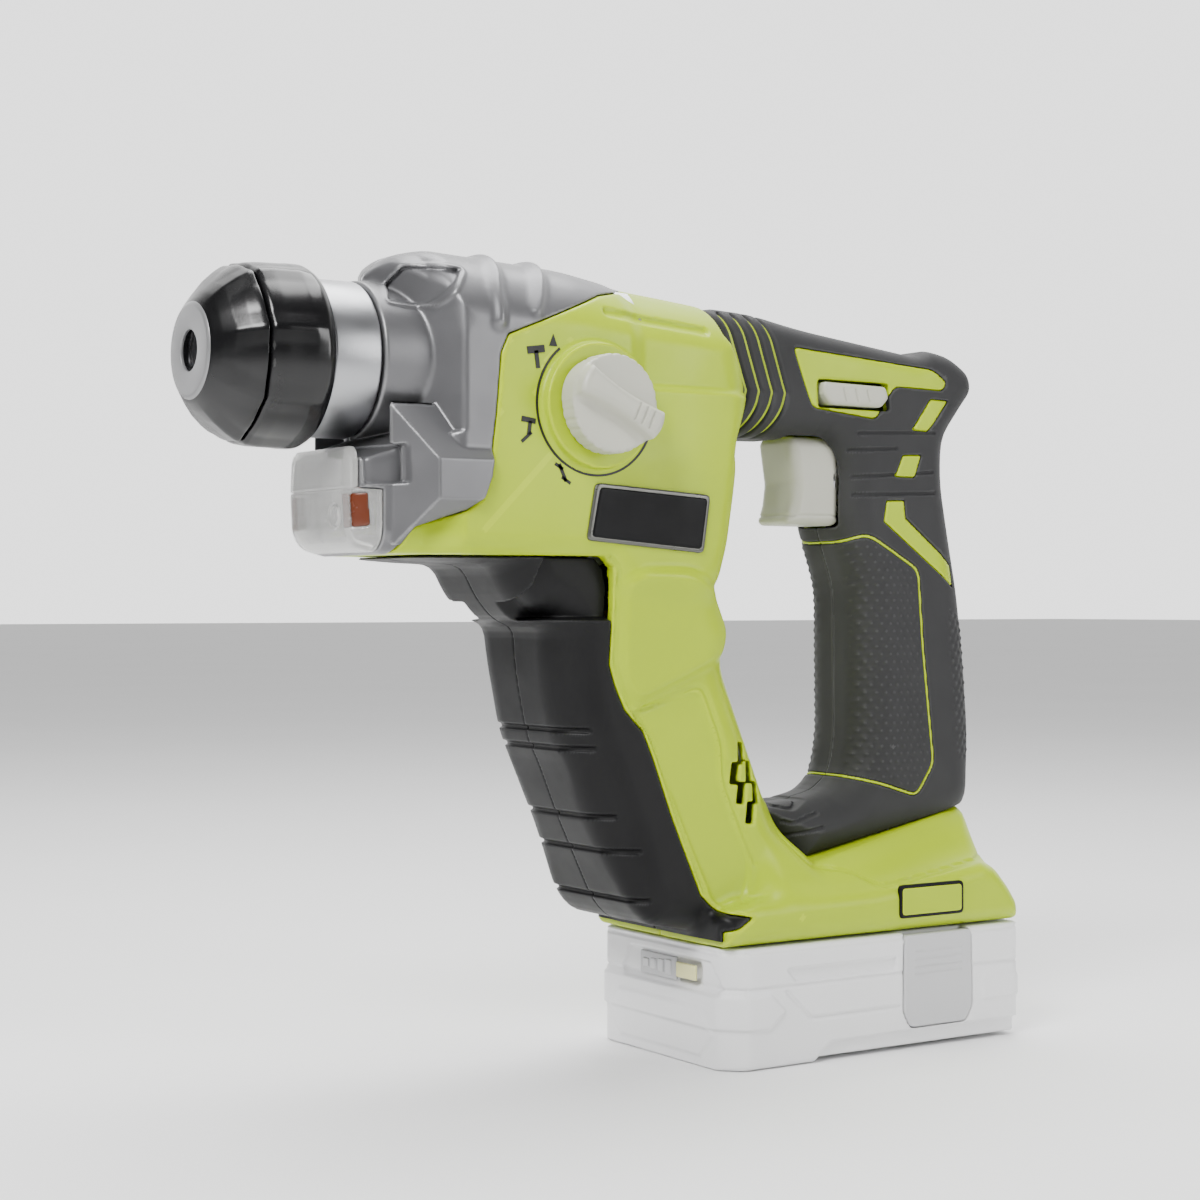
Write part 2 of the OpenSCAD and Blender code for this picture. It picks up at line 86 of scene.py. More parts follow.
def seg_dist(p, closed):
    """Distance from each raster point to a polyline."""
    d = np.full(PX.shape, 1e9, F32)
    n = len(p)
    for i in range(n if closed else n - 1):
        ax, az = p[i]
        bx, bz = p[(i + 1) % n]
        ex, ez = bx - ax, bz - az
        L = ex * ex + ez * ez + 1e-12
        t = np.clip(((PX - ax) * ex + (PZ - az) * ez) / L, 0, 1)
        d = np.minimum(d, (PX - ax - t * ex) ** 2 + (PZ - az - t * ez) ** 2)
    return np.sqrt(d)


def inside(p):
    """Which raster points lie inside a closed outline."""
    c = np.zeros(PX.shape, bool)
    n = len(p)
    for i in range(n):
        ax, az = p[i]
        bx, bz = p[(i + 1) % n]
        if az == bz:
            continue
        hit = ((az > PZ) != (bz > PZ)) & (PX < (bx - ax) * (PZ - az) / (bz - az) + ax)
        c ^= hit
    return c


class Area:
    """Signed distance to a closed outline in the side plane; below 0 inside."""

    def __init__(self, pts, r=0):
        p = fillet(pts, r) if r else np.array(pts, float)
        d = seg_dist(p, True)
        self.g = np.where(inside(p), -d, d).astype(F32)

    def __call__(self, x, z):
        return sample(self.g, x, z)


class Line(Area):
    """Distance to an open line in the side plane."""

    def __init__(self, pts, r=0):
        p = fillet(pts, r, closed=False) if r else np.array(pts, float)
        self.g = seg_dist(p, False).astype(F32)


def sample(g, x, z):
    """Reads a raster between its points."""
    fx = np.clip((x - X0) / DX, 0, g.shape[1] - 1.001)
    fz = np.clip((z - Z0) / DX, 0, g.shape[0] - 1.001)
    ix = fx.astype(np.int32)
    iz = fz.astype(np.int32)
    tx = fx - ix
    tz = fz - iz
    a = g[iz, ix] * (1 - tx) + g[iz, ix + 1] * tx
    b = g[iz + 1, ix] * (1 - tx) + g[iz + 1, ix + 1] * tx
    return a * (1 - tz) + b * tz


# ---------------------------------------------------------------- 3-D field helpers
def smin(a, b, k):
    """The union of two fields with their corner filled to about k."""
    h = np.clip(0.5 + 0.5 * (b - a) / k, 0, 1)
    return b * (1 - h) + a * h - k * h * (1 - h)


def smax(a, b, k):
    return -smin(-a, -b, k)


def ramp(x, a, b):
    t = np.clip((x - a) / (b - a), 0, 1)
    return t * t * (3 - 2 * t)


def slab(d2, y, W, R):
    """An outline extruded to half width W with its edge rounded by R."""
    u = d2 + R
    v = np.abs(y) - W + R
    return np.sqrt(np.maximum(u, 0) ** 2 + np.maximum(v, 0) ** 2) + np.minimum(np.maximum(u, v), 0) - R


def round_bar(x, y, z, x0, x1, r, zc=SPZ, e=1.0):
    """A cylinder along x with its edges rounded by e."""
    q = np.sqrt(y * y + (z - zc) ** 2) - r + e
    w = np.abs(x - (x0 + x1) / 2) - (x1 - x0) / 2 + e
    return np.sqrt(np.maximum(q, 0) ** 2 + np.maximum(w, 0) ** 2) + np.minimum(np.maximum(q, w), 0) - e


def block(x, y, z, c, h, e):
    """A box of half sizes h about c with its edges rounded by e."""
    q = [np.abs(p - m) - s + e for p, m, s in zip((x, y, z), c, h)]
    out = np.sqrt(sum(np.maximum(v, 0) ** 2 for v in q))
    return out + np.minimum(np.maximum(np.maximum(q[0], q[1]), q[2]), 0) - e


def groove(f, d, width, depth):
    """Cuts a groove of round section along a line at distance d, into the surface of f."""
    return smax(f, -(np.sqrt(d * d + (np.maximum(f, -9) * width / depth) ** 2) - width) * (depth / width), 0.25)


def raised(f, d2, height, soft=0.8):
    """Raises the surface of f by height inside an outline, or sinks it if height is below 0."""
    return f - height * (1 - ramp(d2, -soft, soft))


# ---------------------------------------------------------------- mesher
def mesh_field(name, field, lo, hi, h, newton=2):
    """Surface nets over the blocks near the surface of a field, in millimetres."""
    B = 8
    lo = np.array(lo, float)
    n = np.ceil((np.array(hi) - lo) / (h * B)).astype(int)
    bi = np.stack(np.meshgrid(*[np.arange(k) for k in n], indexing="ij"), -1).reshape(-1, 3)
    c = lo + (bi + 0.5) * h * B
    reach = h * B * 0.5
    v0 = field(c[:, 0].astype(F32), c[:, 1].astype(F32), c[:, 2].astype(F32))
    keep = np.abs(v0) < reach * 1.7321 * 1.5 + 2.2
    bi = bi[keep]
    N = n * B + 1
    off = np.stack(np.meshgrid(*[np.arange(B + 1)] * 3, indexing="ij"), -1)
    P, ids, quads = [], [], []
    for s in range(0, len(bi), 1500):
        b = bi[s:s + 1500]
        ijk = b[:, None, None, None, :] * B + off[None]
        p = (lo + ijk * h).astype(F32)
        v = field(p[..., 0], p[..., 1], p[..., 2])
        inn = v < 0
        cube = [inn[:, i:B + i, j:B + j, k:B + k] for i in (0, 1) for j in (0, 1) for k in (0, 1)]
        tot = sum(q.astype(np.int8) for q in cube)
        act = (tot > 0) & (tot < 8)
        w = np.argwhere(act)
        if not len(w):
            continue
        acc = np.zeros((len(w), 3), float)
        cnt = np.zeros(len(w), float)
        bb, ci = w[:, 0], w[:, 1:]
        for ax in range(3):
            o1, o2 = [a for a in range(3) if a != ax]
            for s1 in (0, 1):
                for s2 in (0, 1):
                    a = ci.copy()
                    a[:, o1] += s1
                    a[:, o2] += s2
                    e = a.copy()
                    e[:, ax] += 1
                    va = v[bb, a[:, 0], a[:, 1], a[:, 2]]
                    vb = v[bb, e[:, 0], e[:, 1], e[:, 2]]
                    m = (va < 0) != (vb < 0)
                    t = np.where(m, va / np.where(m, va - vb, 1), 0)
                    q = a.astype(float)
                    q[:, ax] += t
                    acc += q * m[:, None]
                    cnt += m
        g = b[bb] * B
        P.append(lo + (g + acc / cnt[:, None]) * h)
        gi = g + ci
        ids.append((gi[:, 0] * N[1] + gi[:, 1]) * N[2] + gi[:, 2])
        for ax in range(3):
            o1, o2 = [a for a in range(3) if a != ax]
            a = ci
            e = ci.copy()
            e[:, ax] += 1
            va = inn[bb, a[:, 0], a[:, 1], a[:, 2]]
            vb = inn[bb, e[:, 0], e[:, 1], e[:, 2]]
            m = va != vb
            g0 = gi[m]
            d1 = np.zeros(3, int); d1[o1] = 1
            d2 = np.zeros(3, int); d2[o2] = 1
            cs = [g0 - d1 - d2, g0 - d2, g0, g0 - d1]
            q = np.stack([(k[:, 0] * N[1] + k[:, 1]) * N[2] + k[:, 2] for k in cs], 1)
            flip = va[m] ^ (ax == 1)
            q[~flip] = q[~flip][:, ::-1]
            quads.append(q)
    P = np.concatenate(P)
    ids = np.concatenate(ids)
    quads = np.concatenate(quads)
    order = np.argsort(ids)
    sid = ids[order]
    pos = np.clip(np.searchsorted(sid, quads), 0, len(sid) - 1)
    ok = (sid[pos] == quads).all(1)
    faces = order[pos[ok]]
    for _ in range(newton):
        x, y, z = P.T.astype(F32)
        f = field(x, y, z)
        e = 0.2
        g = np.stack([field(x + e, y, z) - f, field(x, y + e, z) - f, field(x, y, z + e) - f], 1) / e
        step = (f / np.maximum((g * g).sum(1), 0.3))[:, None] * g
        L = np.linalg.norm(step, axis=1)[:, None]
        P = P - step * np.minimum(1, 0.4 * h / np.maximum(L, 1e-9))
    return P, faces


def make_object(name, P, faces, mirror=False):
    """Makes a mesh object from millimetre points; mirror gives the far side's copy."""
    P = P.copy()
    P[:, 0] -= HALF_L
    P = P / 1000
    if mirror:
        P[:, 1] *= -1
        faces = faces[:, ::-1]
    me = bpy.data.meshes.new(name)
    me.vertices.add(len(P))
    me.vertices.foreach_set("co", P.astype(F32).ravel())
    k = faces.shape[1]
    me.loops.add(len(faces) * k)
    me.loops.foreach_set("vertex_index", faces.astype(np.int32).ravel())
    me.polygons.add(len(faces))
    me.polygons.foreach_set("loop_start", np.arange(0, len(faces) * k, k, dtype=np.int32))
    me.polygons.foreach_set("loop_total", np.full(len(faces), k, np.int32))
    me.update(calc_edges=True)
    me.validate()
    me.polygons.foreach_set("use_smooth", np.ones(len(me.polygons), bool))
    ob = bpy.data.objects.new(name, me)
    bpy.context.scene.collection.objects.link(ob)
    return ob


# ---------------------------------------------------------------- outlines, in millimetres
head_o = Area([[-109, 199], [-108, 240], [-100, 246.7], [-93.5, 248.4], [-73, 247.4], [-47, 246], [-23, 242],
               [22, 238], [26, 232], [18, 212], [11, 196], [9, 180], [6, 162], [2, 150], [-8, 147],
               [-35, 150], [-42, 157.8], [-108, 157.9], [-118, 160.2], [-121, 165], [-121.6, 177], [-121, 189.6],
               [-110, 191.8]], 4)
column_o = Area([[-100, 160], [-60, 200], [0, 200], [6, 160], [6, 148], [12, 136], [10.5, 126], [31, 76],
                 [34, 70], [44, 60], [44, 38.2], [0, 38.2], [0, 42], [-4, 42.8], [-20, 45.5], [-26, 52], [-38, 77],
                 [-50, 104], [-54, 124], [-55, 137], [-62, 139.5], [-68, 146], [-74, 157], [-90, 158]], 5)
base_o = Area([[-1.2, 38.2], [122.2, 38.2], [122.2, 44], [118, 50], [112.5, 56], [106, 58.5], [60, 53],
               [8, 52], [-1, 48]], 2)
neck_o = Area([[20, 45], [114, 45], [116, 62], [118, 76], [100, 76], [45, 61.5], [43, 64], [35, 72],
               [30, 84], [14, 84]], 6)
grip_o = Area([[6, 198], [38, 198], [58, 198.5], [64, 190], [63, 172], [66, 163], [71, 150], [71.5, 100],
               [69, 88], [62, 82], [50, 79.5], [31, 79], [36, 71.5], [43, 64], [46, 58], [112, 68], [121.6, 76],
               [122.4, 100], [120.5, 124], [117.5, 148], [113, 170], [110, 186], [110.5, 200], [117, 209],
               [123, 217], [121, 224], [112, 229.5], [102, 230.8], [97, 228.4], [50, 234], [28, 237.6],
               [6, 238.5]], 6)
case_r = Area([[-150, 190], [-150, 270], [-8, 270], [-19, 244], [-25, 240.2], [-40, 237], [-76, 222.5], [-78.5, 217],
               [-80, 200], [-82.5, 181], [-85, 174.5], [-90, 171], [-104.5, 166], [-107, 161], [-111, 155],
               [-150, 150]])
grip_r = Area([[-120, 170], [-120, 159], [-105, 158.3], [-42, 158.3], [-38.5, 155], [-37.5, 150],
               [-37.3, 126], [-35, 119.5], [-31.4, 112], [-24.5, 105], [-21, 97], [-14.5, 80], [-3.6, 54],
               [2, 48.5], [9, 47.3], [4, 44.4], [0, 43.4], [0, 30], [-60, 30], [-120, 60]])
rear_r = Area([[140, 270], [8, 270], [5.7, 228], [15, 211.8], [7.7, 195.7], [7, 190], [20, 150],
               [32, 79.2], [35.5, 72], [44.7, 63.8], [45.5, 61], [113.4, 75.2], [140, 78]])


def head_f(x, y, z):
    up = ramp(z, 196, 238)
    W = 33.2 - 1.6 * ramp(x, -10, 25) - 2.0 * ramp(z, 208.5, 211) * ramp(x, -34, -26)
    W = W - 8.0 * ramp(-x, 90, 101) - 2.6 * ramp(-x, 106, 122)
    R = np.minimum(7 + 19 * up, W - 3)
    return slab(head_o(x, z), y, W, R)


def column_f(x, y, z):
    low = ramp(-z, -80, -45)
    W = 27.2 + 1.0 * low + 2.5 * ramp(z, 118, 150)
    return slab(column_o(x, z), y, W, 15 - 6 * low)


def base_f(x, y, z):
    return slab(base_o(x, z), y, 38.0, 5.5)


def neck_f(x, y, z):
    W = 31 - 13 * ramp(z, 52, 78) + 2.5 * ramp(-x, -45, -20)
    return slab(neck_o(x, z), y, W, 9)


def grip_f(x, y, z):
    W = 18.2 + 1.6 * ramp(-x, -45, -15) * ramp(z, 190, 200) - 0.6 * ramp(z, 205, 215)
    return slab(grip_o(x, z), y, W, 13 - 4 * ramp(z, 200, 225))


def body_f(x, y, z):
    f = smin(head_f(x, y, z), column_f(x, y, z), 5)
    b = smin(base_f(x, y, z), neck_f(x, y, z), 7)
    f = smin(f, b, 4)
    return f


# features of the lime shell
recess_l = Line([[-40, 231.6], [-2, 228.4]])
bulge_a = Area([[-36, 151.5], [-30, 155.3], [-11, 155.3], [3.4, 148.2], [9.4, 136], [8, 127.6], [-27, 113.2],
                [-33, 118], [-35.4, 126]], 5)
ridge_l = Line([[-24.5, 112.6], [-2.7, 119.5], [5, 101], [5.5, 89], [17.3, 62.7]], 4)
side_panel = Area([[-30, 111.5], [-4, 117.5], [3.6, 101], [4.2, 88.6], [16, 62], [12, 50], [2, 50], [-20, 98],
                   [-23, 105]], 4)
bound_l = Line([[-40, 158.6], [-36.2, 154.5], [-35.8, 126.2], [-33.6, 120.3], [-30, 112.6], [-23.2, 106],
                [-19.6, 97.6], [-13.1, 80.6], [-2.4, 54.8]], 4)
vents = [Area([[cx - 2.2, cz - 3.3], [cx - 1.2, cz + 3.6], [cx + 2.4, cz + 3.2], [cx + 1.2, cz - 3.6]], 0.5)
         for cx, cz in ((13.6, 97.3), (10, 91.2), (17.0, 91.2), (12.6, 85.0), (19.6, 84.6), (16.2, 78.6))]
step_l = Line([[30, 72], [40, 60.5], [54, 58], [63, 52.8], [106, 58.6], [114, 60]], 3)
plate_a = Area([[67.5, 42.6], [95, 42.6], [95, 53.4], [67.5, 53.4]], 1.6)
badge_a = Area([[-46.4, 180.2], [-4.4, 177.6], [-7, 159.6], [-49.6, 163]], 1.8)


def lime_f(x, y, z, near=True):
    """The lime casing; near adds the dial's seat, on the left side only."""
    f = body_f(x, y, z)
    side = ramp(-y, 8, 14)
    f = f - 2.2 * (1 - ramp(bulge_a(x, z), -3.5, 1.2)) * side
    f = groove(f, recess_l(x, z), 1.5, 1.2)
    f = groove(f, ridge_l(x, z), 0.7, 0.6)
    f = raised(f, side_panel(x, z), -0.9, 0.7)
    f = groove(f, bound_l(x, z), 0.55, 0.6)
    f = groove(f, step_l(x, z), 0.55, 0.6)
    f = raised(f, plate_a(x, z), 0.5, 0.5)
    for v in vents:
        f = smax(f, -np.maximum(v(x, z), -(f + 7)), 0.6)
    # the raised dial boss, left side only
    d = np.sqrt((x + 46) ** 2 + (z - 203) ** 2)
    if near:
        f = smin(f, np.maximum(d - 18.6, np.abs(y + 32.5) - 4.0), 2.2)
    f = smax(f, SEAM - case_r(x, z), 0.5)
    f = smax(f, SEAM - grip_r(x, z), 0.5)
    f = smax(f, SEAM - rear_r(x, z), 0.5)
    f = smax(f, 38.1 - z, 0.6)
    # the wall is thin behind the vents, so that they look dark
    thin = ramp(x, 7.5, 9) * ramp(-x, -27, -24) * ramp(z, 70, 74) * ramp(-z, -108, -104)
    inner = body_f(x, y, z) + 3.2 - 1.2 * thin
    return np.maximum(f, -inner)


# ---------------------------------------------------------------- grey rubber of the handle
top_panel = Area([[40.7, 227.5], [100.4, 223.6], [107, 219.5], [105, 216.4], [84, 216.8], [75, 205.4],
                  [48.4, 208.2]], 2)
acc1 = Area([[90.6, 202.6], [98, 202.4], [107.6, 213.2], [99.4, 213.4]], 0.8)
acc2 = Area([[86.7, 194], [95, 194.3], [92, 186.6], [83.3, 186.6]], 0.8)
acc3 = Area([[79.6, 178.6], [87.4, 178.8], [88, 173], [109, 157.2], [110, 149.6], [78.4, 171.6]])
tex_a = Area([[53, 160.4], [60.7, 162.4], [72, 167.4], [93.6, 155.6], [95.6, 130], [100.3, 90.4],
              [92.8, 79.8], [79, 84], [60, 89], [53, 90]], 3)
tex_line = Line([[50, 159.9], [60.7, 162.4], [72, 167.4], [93.6, 155.6], [95.6, 130], [100.3, 90.4],
                 [92.8, 79.8], [79, 84], [60, 89], [50, 90.6]], 3)
rear_tex = Area([[106.4, 143.5], [112, 141], [116, 138], [118, 91], [110.4, 92], [107, 130]], 2)
chev = [Line([[x0, 236], [x0 - 1 + 9.6, 212.4], [x0 + 2, 194]]) for x0 in (12.5, 18.0, 23.6, 29.2)]
bars = [Line([[68, 200.6], [101, 202]]), Line([[66, 195.0], [84, 196]]), Line([[68, 186.2], [100, 188.6]]),
        Line([[68, 180.2], [101, 181.6]])]
web = [Line([[52 + 0.5 * i, 80 - 4.4 * i], [44 - 2 * i, 77 - 4 * i], [36 + 3 * i, 78.8 - 5 * i]], 2)
       for i in range(3)]


def rubber_f(x, y, z):
    """The grey rubber skin of the handle."""
    f = grip_f(x, y, z)
    for c in chev:
        f = f + 1.5 * np.exp(-(c(x, z) / 0.9) ** 2) * ramp(-y, 3, 8)
    for c in bars + web:
        f = groove(f, c(x, z), 0.6, 0.7)
    t = tex_a(x, z)
    # small raised pips in offset rows
    row = np.round(z / 2.55)
    px = (x + 1.45 * (row % 2)) / 2.9
    dx = (px - np.round(px)) * 2.9
    dz = z - row * 2.55
    pip = np.exp(-(dx * dx + dz * dz) / 0.55)
    f = f - 0.42 * pip * (1 - ramp(t, -2.4, -1.2)) * ramp(-y, 6, 10)
    f = f - 0.55 * pip * (1 - ramp(rear_tex(x, z), -0.8, 0.2))
    f = groove(f, tex_line(x, z), 0.75, 0.8)
    for a in (top_panel, acc1, acc2, acc3):
        f = smax(f, -np.maximum(a(x, z) - 0.12, -(f + 1.6)) - 9 * (y > -9), 0.35)
    # clear the selector and trigger
    f = smax(f, -block(x, y, z, (66, 0, 213), (15.2, 30, 4.7), 1.5), 0.4)
    f = smax(f, -block(x, y, z, (60, 0, 185), (17, 10.6, 15.3), 2), 0.5)
    f = smax(f, rear_r(x, z) + SEAM, 0.5)
    inner = grip_f(x, y, z) + 2.6
    return np.maximum(f, -inner)


def core_f(x, y, z):
    """The lime core that shows in the handle's windows and in the thin line round the pips."""
    f = grip_f(x, y, z)
    g = f + 1.2
    for a in (top_panel, acc1, acc2, acc3):
        g = np.where(y < 0, np.minimum(g, np.maximum(f + 0.15, a(x, z) + 0.25)), g)
    g = np.minimum(g, np.maximum(f + 0.25, tex_line(x, z) - 0.42))
    g = smax(g, -block(x, y, z, (66, 0, 213), (15.2, 30, 4.7), 1.5), 0.4)
    g = smax(g, -block(x, y, z, (60, 0, 185), (17, 10.6, 15.3), 2), 0.5)
    g = smax(g, rear_r(x, z) + 0.6, 0.5)
    inner = f + 3.8
    return np.maximum(np.maximum(g, -inner), y + GAP)


# ---------------------------------------------------------------- black front grip
notch = [Line([[x0, z0], [x1, z1]]) for x0, z0, x1, z1 in
         ((-60, 106.5, -43, 106), (-58, 101, -41, 100.4), (-46, 79.6, -33, 79.4), (-40, 69, -25.5, 68.6),
          (-34, 53.6, -22, 53.4))]
fat_l = Line([[-63, 139], [-62.5, 124.5], [-57, 111], [-48, 97.5], [-41, 80], [-32, 58], [-29, 50]], 6)
cup_a = Area([[-120, 175], [-62, 175], [-62, 158], [-63.5, 150], [-67, 144], [-71, 135], [-120, 135]])


def fgrip_f(x, y, z):
    """The black grip on the front of the column."""
    b = body_f(x, y, z)
    f = groove(b, fat_l(x, z), 1.5, 1.3)
    for c in notch:
        f = groove(f, c(x, z), 0.9, 1.1)
    # dark hollow under the head, behind the finger guard
    f = f + 4.0 * ramp(z, 139, 140.5) * ramp(cup_a(x, z), -0.3, 0.6) * ramp(-y, 9, 14)
    f = smax(f, grip_r(x, z) + 0.2, 0.6)
    return np.maximum(np.maximum(f, -(b + 6.0)), y + GAP)


# ---------------------------------------------------------------- grey gear case
emblem = Area([[-100.4, 242.4], [-87.4, 241.2], [-95.6, 231], [-106.6, 231.8]], 0.7)
rib1 = Line([[-72, 250], [-78, 236], [-79, 226]], 3)
rib2 = Line([[-55, 250], [-62, 238], [-66, 230]], 3)
pit_a = Area([[-117.6, 189], [-106.5, 189.8], [-106, 178.8], [-117.2, 178.2]], 1)


def lens_zone(x, z):
    """Below 0 where the clear front of the foot is."""
    return x + 112.4 + 6.2 * ramp(z, 176.9, 177.3)


def case_f(x, y, z):
    """The grey gear case: head, barrel, faceted boss, emblem recess and ribs."""
    r = np.sqrt(y * y + (z - SPZ) ** 2)
    o = -y
    h = head_f(x, y, z)
    cut = -(x + 107.5) * 0.85 + 0.43 * np.abs(y) - np.maximum(194 - z, 0) * 2.2
    base = smin(smax(h, cut, 1.2), round_bar(x, y, z, -110.9, -70, 23.4, SPZ, 0.8), 1.2)
    f = base
    # faceted boss on the side: top, side, bottom and front planes
    top = ((o - 36) * 10 + (z - 185) * 7) / 12.2
    low = ((o - 36) * 7.5 - (z - 174.5) * 6) / 9.6
    front = ((o - 36) * 7 - (x + 100) * 8) / 10.6
    boss = np.maximum(np.maximum(np.maximum(top, low), np.maximum(front, o - 35.6)), np.maximum(x + 70, 24 - o))
    boss = np.maximum(boss, 161 - z)
    f = smin(f, boss, 0.5)
    e = emblem(x, z)
    f = f - 0.4 * np.exp(-((e - 0.9) / 0.6) ** 2) + 1.2 * (1 - ramp(e, -0.3, 0.1))
    f = f - 1.5 * np.exp(-(rib1(x, z) / 1.9) ** 2) - 1.5 * np.exp(-(rib2(x, z) / 1.9) ** 2)
    f = raised(f, pit_a(x, z), -1.3, 0.35)
    f = smax(f, -(lens_zone(x, z) - 0.15), 0.3)
    f = smax(f, case_r(x, z) + 0.2, 0.5)
    f = np.maximum(f, 17.7 - r)
    return np.maximum(f, -(base + 5.0))


# ---------------------------------------------------------------- turned and lofted parts
def turned(name, prof, n=128, lobes=None):
    """A ring turned about the spindle axis from (x, radius) points; lobes(x, angle) adds to the radius."""
    prof = np.array(prof, float)
    a = np.arange(n) * 2 * math.pi / n
    P = np.empty((len(prof), n, 3))
    for i, (x, r) in enumerate(prof):
        rr = r + (lobes(x, r, a) if lobes else 0)
        P[i, :, 0] = x
        P[i, :, 1] = rr * np.cos(a)
        P[i, :, 2] = SPZ + rr * np.sin(a)
    m = len(prof)
    idx = np.arange(m * n).reshape(m, n)
    i0, i1 = idx, np.roll(idx, -1, 0)
    j = np.roll(np.arange(n), -1)
    F = np.stack([i0, i1, i1[:, j], i0[:, j]], -1).reshape(-1, 4)
    return make_object(name, P.reshape(-1, 3), F)


# ---------------------------------------------------------------- materials
def new_mat(name):
    m = bpy.data.materials.new(name)
    m.use_nodes = True
    nt = m.node_tree
    return m, nt, nt.nodes["Principled BSDF"]


def noise(nt, scale, detail=4, rough=0.6, stretch=None):
    co = nt.nodes.new("ShaderNodeTexCoord")
    nz = nt.nodes.new("ShaderNodeTexNoise")
    nz.inputs["Scale"].default_value = scale
    nz.inputs["Detail"].default_value = detail
    nz.inputs["Roughness"].default_value = rough
    if stretch:
        mp = nt.nodes.new("ShaderNodeMapping")
        mp.inputs["Scale"].default_value = stretch
        nt.links.new(co.outputs["Object"], mp.inputs["Vector"])
        nt.links.new(mp.outputs["Vector"], nz.inputs["Vector"])
    else:
        nt.links.new(co.outputs["Object"], nz.inputs["Vector"])
    return nz


def rampn(nt, src, lo, hi, a, b):
    r = nt.nodes.new("ShaderNodeValToRGB")
    r.color_ramp.elements[0].position = lo
    r.color_ramp.elements[1].position = hi
    r.color_ramp.elements[0].color = (*a, 1)
    r.color_ramp.elements[1].color = (*b, 1)
    nt.links.new(src, r.inputs["Fac"])
    return r


def bumps(nt, bsdf, layers):
    prev = None
    for nz, strength, dist in layers:
        b = nt.nodes.new("ShaderNodeBump")
        b.inputs["Strength"].default_value = strength
        b.inputs["Distance"].default_value = dist
        nt.links.new(nz.outputs[0], b.inputs["Height"])
        if prev:
            nt.links.new(prev.outputs["Normal"], b.inputs["Normal"])
        prev = b
    nt.links.new(prev.outputs["Normal"], bsdf.inputs["Normal"])


def plastic(name, base, rough=0.42, grain=2600, depth=0.00006, var=0.06, spec=0.5, coat=0.0, metal=0.0,
            edge_tint=None, stretch=None, gs=0.35, rvar=0.06):
    """Moulded or painted surface: slow colour drift, fine grain, uneven gloss and a paler colour on convex edges."""
    m, nt, b = new_mat(name)
    big = noise(nt, 14, 3)
    dark = tuple(c * (1 - var) for c in base)
    lite = tuple(min(1, c * (1 + var)) for c in base)
    col = rampn(nt, big.outputs[0], 0.35, 0.65, dark, lite)
    out = col.outputs["Color"]
    # convex edges, picked out by pointiness, are mixed towards a paler colour
    if edge_tint:
        geo = nt.nodes.new("ShaderNodeNewGeometry")
        edge = rampn(nt, geo.outputs["Pointiness"], 0.515, 0.56, (0, 0, 0), (1, 1, 1))
        mix = nt.nodes.new("ShaderNodeMix")
        mix.data_type = "RGBA"
        nt.links.new(edge.outputs["Color"], mix.inputs[0])
        nt.links.new(out, mix.inputs[6])
        mix.inputs[7].default_value = (*edge_tint, 1)
        out = mix.outputs[2]
    nt.links.new(out, b.inputs["Base Color"])
    mid = noise(nt, 60, 4)
    rr = rampn(nt, mid.outputs[0], 0.3, 0.7, (rough - rvar,) * 3, (rough + rvar,) * 3)
    nt.links.new(rr.outputs["Color"], b.inputs["Roughness"])
    fine = noise(nt, grain, 3, 0.6, stretch)
    bumps(nt, b, [(fine, gs, depth), (mid, 0.12, 0.0001)])
    b.inputs["Metallic"].default_value = metal
    b.inputs["Specular IOR Level"].default_value = spec
    if coat:
        b.inputs["Coat Weight"].default_value = coat
        b.inputs["Coat Roughness"].default_value = 0.15
    return m


